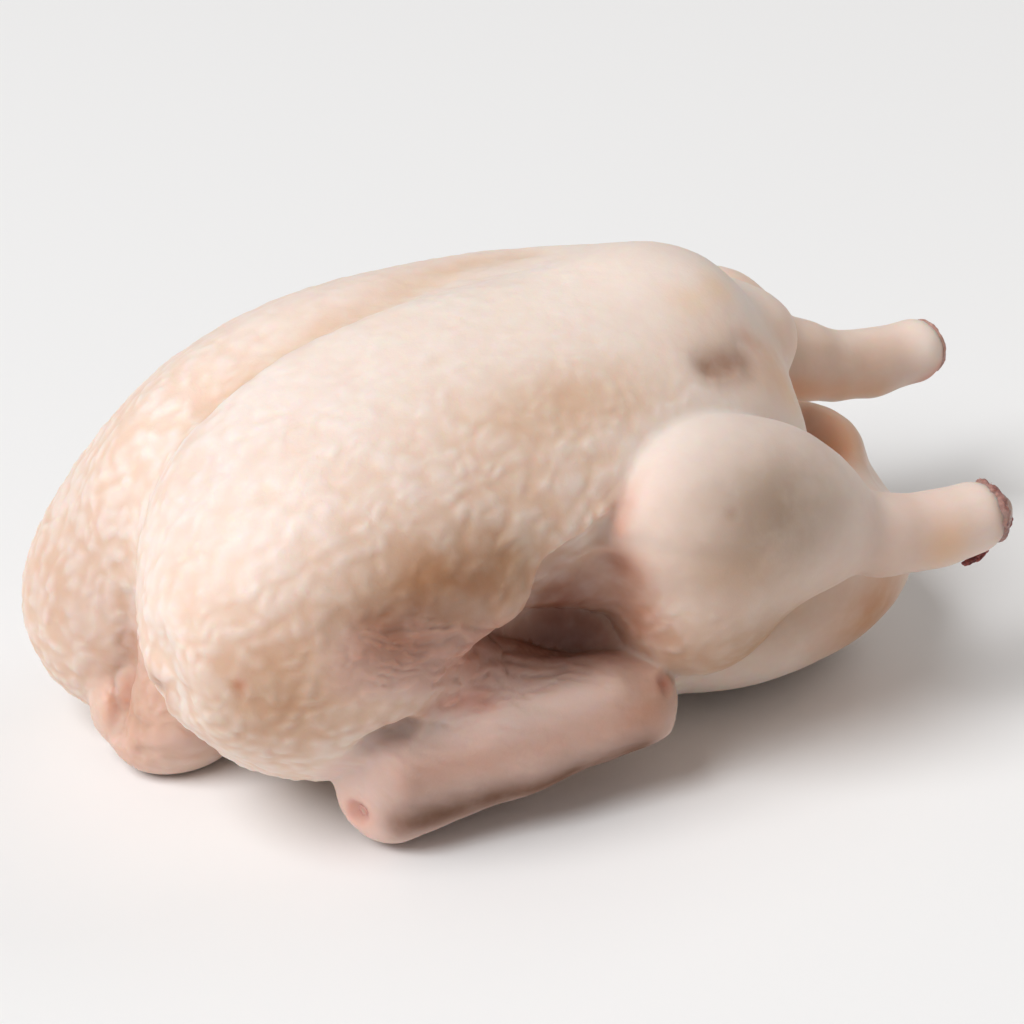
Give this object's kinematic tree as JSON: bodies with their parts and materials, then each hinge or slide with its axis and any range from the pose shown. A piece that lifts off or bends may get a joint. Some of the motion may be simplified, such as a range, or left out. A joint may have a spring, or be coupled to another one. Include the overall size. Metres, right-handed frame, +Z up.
{
  "type": "whole raw duck",
  "caption": "Whole raw duck, plucked and dressed, lying on its back: plump lobed breast with a keel groove, bent wings cut at the wrist, drumsticks cut at the hock.",
  "frame": {"origin": "centre of the flat patch under the back, on the surface that the bird lies on", "axes": "+X from the neck towards the tail, +Y to the bird's left side, +Z up through the breast"},
  "size_m": [0.2908, 0.1713, 0.123],
  "materials": {
    "raw_skin": "moist, translucent pale skin with bumps where feathers were"
  },
  "bodies": {
    "root": {"raw_duck": "raw_skin"}
  },
  "joints": []
}
